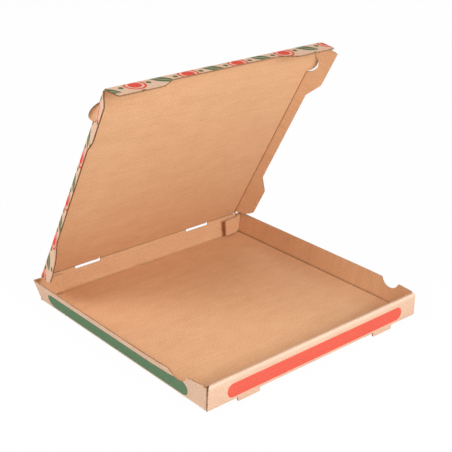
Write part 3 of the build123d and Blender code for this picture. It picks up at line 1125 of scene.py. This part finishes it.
corner = {
    "length": 31.0 * mm,
    "top": 26.4 * mm,
    "bottom": 2.8 * mm,
    "hingeBottom": 6.5 * mm,
    "freeBottom": 4.4 * mm,
    "heel": 9.0 * mm,
    "earTop": 29.4 * mm,  # the root stands as high as the wall, outside the shut lid
    "earFoot": 3.6 * mm,
    "earFootTop": 25.2 * mm,
    "creaseFoot": 0.6 * mm,
    "wallGap": 1.5 * mm,  # from the side wall's end to the fold
    "leastHigh": 0.01 * mm,
    "swing": {"left_corner_flap": math.radians(3.0), "right_corner_flap": math.radians(14.0)},
}
cornerFlaps = ((-1, "left_corner_flap"), (1, "right_corner_flap"))
backIn = np.array([0.0, -math.cos(tray["backLean"]), math.sin(tray["backLean"])])


def cornerFrame(side, body):
    joint = joints[body.replace("_flap", "_swing")]
    origin = np.array(joint["pos_m"], float)
    up = np.array(joint["axis"], float) * side
    flush = np.cross(backIn, up) * side
    swing = corner["swing"][body]
    tilt = math.atan(math.cos(tray["backLean"]) * math.tan(tray["sideLean"]))

    def riseTo(height):
        return (height - origin[2]) / math.cos(tray["backLean"])

    def spot(inset, height):
        rise = riseTo(height)
        run = inset * math.cos(tilt) + rise * math.sin(tilt)
        return run, rise * math.cos(tilt) - inset * math.sin(tilt)

    def atFold(height):
        return riseTo(height) / math.cos(tilt)

    freeTop = spot(corner["length"], corner["top"])
    return {
        "origin": origin,
        "up": up,
        "away": flush * math.cos(swing) + backIn * math.sin(swing),
        "look": flush * math.sin(swing) - backIn * math.cos(swing),
        "floor": np.array([
            (0, spot(0, corner["hingeBottom"])[1]),
            spot(corner["heel"], corner["bottom"]),
            spot(corner["length"], corner["freeBottom"]),
            freeTop,
        ]),
        "ceiling": np.array([
            (0, atFold(corner["earTop"])),
            spot(0, corner["earTop"]),
            spot(corner["earFoot"], corner["earFootTop"]),
            freeTop,
        ]),
        "crease": (atFold(corner["creaseFoot"]), atFold(corner["earTop"])),
    }


def cornerBoard(side, body, node):
    lay = cornerFrame(side, body)

    def columns(along):
        run = along - tray["sideBack"]
        low = np.interp(run, lay["floor"][:, 0], lay["floor"][:, 1])
        high = np.interp(run, lay["ceiling"][:, 0], lay["ceiling"][:, 1])
        return np.stack([low, (low + high) / 2, np.maximum(high, low + corner["leastHigh"])], 1)

    def place(along, across, lift):
        run = (along - tray["sideBack"])[..., None]
        middle = lay["origin"] + run * lay["away"] + across[..., None] * lay["up"]
        return middle + lift[..., None] * lay["look"]

    end = lay["ceiling"][-1, 0]
    rows = fluteRows(corner["wallGap"], end, lay["floor"][1:, 0], lay["ceiling"][1:, 0])
    store = newStore()
    addBoard(store, rows + tray["sideBack"], columns, place)
    piece = makePiece(body + "_board", store, trayFinishes)
    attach(piece, body)
    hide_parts(node)
    return lay


cornerLays = {body: cornerBoard(side, body, "back_" + body) for side, body in cornerFlaps}
print("corner flaps cut")


# crushed creases that bend where panels swing

crushed = {
    "depth": 0.55 * mm,
    "width": 0.9 * mm,
    "ease": 0.005 * mm,
    # strength of the fold marks: pale wear outside, painted shade inside
    "wearAndShade": 0.9,
    "runSteps": 6,
    "bendSteps": 9,
    "bendHalf": 0.05 * mm,
    "columnStep": 12.0 * mm,
}


def makeCrease(name, axis, along, first, second, spans, flatAt, finishes, half=reach):
    # first and second give a panel's direction away from the fold and its outer face's look
    awayA, lookA = first
    runs = half * np.linspace(1, 0, crushed["runSteps"] + 1)[:-1]
    bend = np.linspace(-crushed["bendHalf"], crushed["bendHalf"], crushed["bendSteps"])
    signed = np.concatenate([-runs, bend, runs[::-1]])
    outA = np.concatenate([runs, 0 * bend, 0 * runs])[:, None, None]
    turn = np.clip(signed / (2 * crushed["bendHalf"]) + 0.5, 0, 1)[:, None, None]
    pinch = near(signed, crushed["width"])[:, None]
    store = newStore()
    for start, end in spans:
        columns = np.linspace(start, end, max(2, int((end - start) / crushed["columnStep"]) + 2))
        awayB, lookB = (np.broadcast_to(way, (len(columns), 3)) for way in second(columns))
        angle = np.arccos(np.clip(lookB @ lookA, -1, 1))[:, None]
        offset = awayA * outA + awayB * outA[::-1]
        look = (lookA * np.sin((1 - turn) * angle) + lookB * np.sin(turn * angle)) / np.sin(angle)
        line = axis + columns[None, :, None] * along
        lower = line + offset - look * (halfThick - crushed["depth"] * pinch)[..., None]
        upper = line + offset + look * (halfThick - crushed["ease"])
        grid = np.broadcast_to(signed[:, None], offset.shape[:2])
        flat = flatAt(grid, np.broadcast_to(columns[None], grid.shape))
        keep = np.ones((len(signed) - 1, len(columns) - 1), bool)
        # pale wear on the outer face, painted shade on the inner face
        wearAndShadeMarks = np.broadcast_to(pinch * crushed["wearAndShade"], grid.shape)
        addSheet(store, lower, upper, flat, wearAndShadeMarks, keep, (inside, outside, raw))
    piece = makePiece(name, store, finishes)
    middle = np.array([(spans[0][0] + spans[-1][1]) / 2])
    awayB = second(middle)[0].reshape(-1, 3)[0]
    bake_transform(piece)


def creaseAcross(name, axis, first, second, spans, foldAt):
    # a crease from side to side, with its place on the blank
    def flatAt(signed, column):
        return np.stack([column, foldAt + signed], -1)

    makeCrease(name, axis, right, first, second, spans, flatAt, lidFinishes)


def creaseSide(side, body):
    def lay(run):
        return sideLay(side, run)

    def flatAt(signed, column):
        return np.stack([side * (lidHalf + signed), hingeAt + column], -1)

    axis = hinge + right * side * lidHalf
    first = (-right * side, lidOut)
    makeCrease(body + "_crease", axis, lidAlong, first, lay, sideSpans, flatAt, lidFinishes)


def creaseCorner(side, body):
    lay = cornerLays[body]
    wallLook = np.array([side * math.cos(tray["sideLean"]), 0.0, -math.sin(tray["sideLean"])])
    toWall = np.cross(wallLook, lay["up"])
    toWall *= -math.copysign(1, toWall[1])

    def flapLay(column):
        return lay["away"], lay["look"]

    def flatAt(signed, column):
        return np.stack([side * (flatHalf + column), tray["sideBack"] + signed], -1)

    makeCrease(
        body + "_crease",
        lay["origin"],
        lay["up"],
        (toWall, wallLook),
        flapLay,
        [lay["crease"]],
        flatAt,
        trayFinishes,
        corner["wallGap"],
    )


def lidLay(column):
    return lidAlong, lidOut


backUp = np.array([0.0, math.sin(tray["backLean"]), math.cos(tray["backLean"])])
hingeSpans = [(-lidEdge, slitEdges[0]), (slitEdges[1], slitEdges[2]), (slitEdges[3], lidEdge)]
creaseAcross("hinge_crease", hinge, (-backUp, -backIn), lidLay, hingeSpans, hingeAt)
frontSpans = [(-lidEdge, lidEdge)]
creaseAcross("front_crease", frontFold, (-lidAlong, lidOut), frontLay, frontSpans, frontFoldAt)
for side, body, node in sideFlaps:
    creaseSide(side, body)
for side, body in cornerFlaps:
    creaseCorner(side, body)
print("creases laid")


# studio: pale floor, soft lamps and the photograph's viewpoint

studio = {
    "floorSize": 12.0,
    "floorTone": (0.86, 0.86, 0.86, 1.0),
    "floorGlow": 0.98,
    "worldTone": (1.0, 1.0, 1.0, 1.0),
    "worldLight": 0.144,
    "lamps": (  # name, place, width and power
        ("frontLamp", (0.08, -1.2, 0.7), 0.6, 13.2),
        ("leftLamp", (-2.2, -0.9, 0.6), 1.2, 9.0),
        ("highLamp", (-1.7, 0.1, 2.0), 1.2, 18.0),
        ("backLamp", (-0.9, 0.5, 0.9), 0.7, 5.5),
        ("rimLamp", (1.7, 1.3, 1.4), 1.2, 10.0),
    ),
    "lampAim": (0.0, 0.0, 0.1),
    "cameraPlace": (-0.7379, -0.8644, 0.6080),
    "cameraTurn": (66.358, -0.158, -40.465),
    "sensorWidth": 36.0,
    "focalPixels": 1029.9,
    "photoPixels": 452.0,
}


def rayShare(bench):
    # one for rays that show the backdrop as it is: camera, glossy and transmission
    path = bench.add("ShaderNodeLightPath").outputs
    shown = bench.math("MAXIMUM", path["Is Camera Ray"], path["Is Glossy Ray"])
    return bench.math("MAXIMUM", shown, path["Is Transmission Ray"])


def makeFloor():
    half = studio["floorSize"] / 2
    corners = [(x * half, y * half, tray["footBottom"]) for x, y in ((-1, -1), (1, -1), (1, 1), (-1, 1))]
    mesh = bpy.data.meshes.new("floor")
    mesh.from_pydata(corners, [], [(0, 1, 2, 3)])
    floor = bpy.data.objects.new("floor", mesh)
    bpy.context.scene.collection.objects.link(floor)
    paint = bpy.data.materials.new("paleFloor")
    bench = NodeBench(paint)
    matt = bench.add("ShaderNodeBsdfDiffuse", {"Color": studio["floorTone"]}).outputs[0]
    glow = bench.add("ShaderNodeEmission").outputs[0]
    share = bench.math("MULTIPLY", rayShare(bench), studio["floorGlow"])
    mix = bench.add("ShaderNodeMixShader", {0: share, 1: matt, 2: glow}).outputs[0]
    bench.add("ShaderNodeOutputMaterial", {"Surface": mix})
    mesh.materials.append(paint)


def makeWorld():
    world = bpy.data.worlds.new("studio")
    bpy.context.scene.world = world
    bench = NodeBench(world)
    low = studio["worldLight"]
    level = bench.math("MULTIPLY_ADD", rayShare(bench), 1 - low, low)
    back = bench.add("ShaderNodeBackground", {"Color": studio["worldTone"], "Strength": level}).outputs[0]
    bench.add("ShaderNodeOutputWorld", {"Surface": back})


def addLamp(name, place, width, power):
    light = bpy.data.lights.new(name, "AREA")
    light.shape = "DISK"
    light.size = width
    light.energy = power
    lamp = bpy.data.objects.new(name, light)
    lamp.location = place
    lamp.rotation_euler = (Vector(studio["lampAim"]) - Vector(place)).to_track_quat("-Z", "Y").to_euler()
    bpy.context.scene.collection.objects.link(lamp)


def addCamera():
    lens = bpy.data.cameras.new("photoView")
    lens.sensor_width = studio["sensorWidth"]
    lens.lens = studio["focalPixels"] * studio["sensorWidth"] / studio["photoPixels"]
    camera = bpy.data.objects.new("photoView", lens)
    camera.location = studio["cameraPlace"]
    camera.rotation_euler = [math.radians(angle) for angle in studio["cameraTurn"]]
    bpy.context.scene.collection.objects.link(camera)
    bpy.context.scene.camera = camera


makeFloor()
makeWorld()
for lampSettings in studio["lamps"]:
    addLamp(*lampSettings)
addCamera()
bpy.context.scene.view_settings.view_transform = "Standard"
print("studio set")
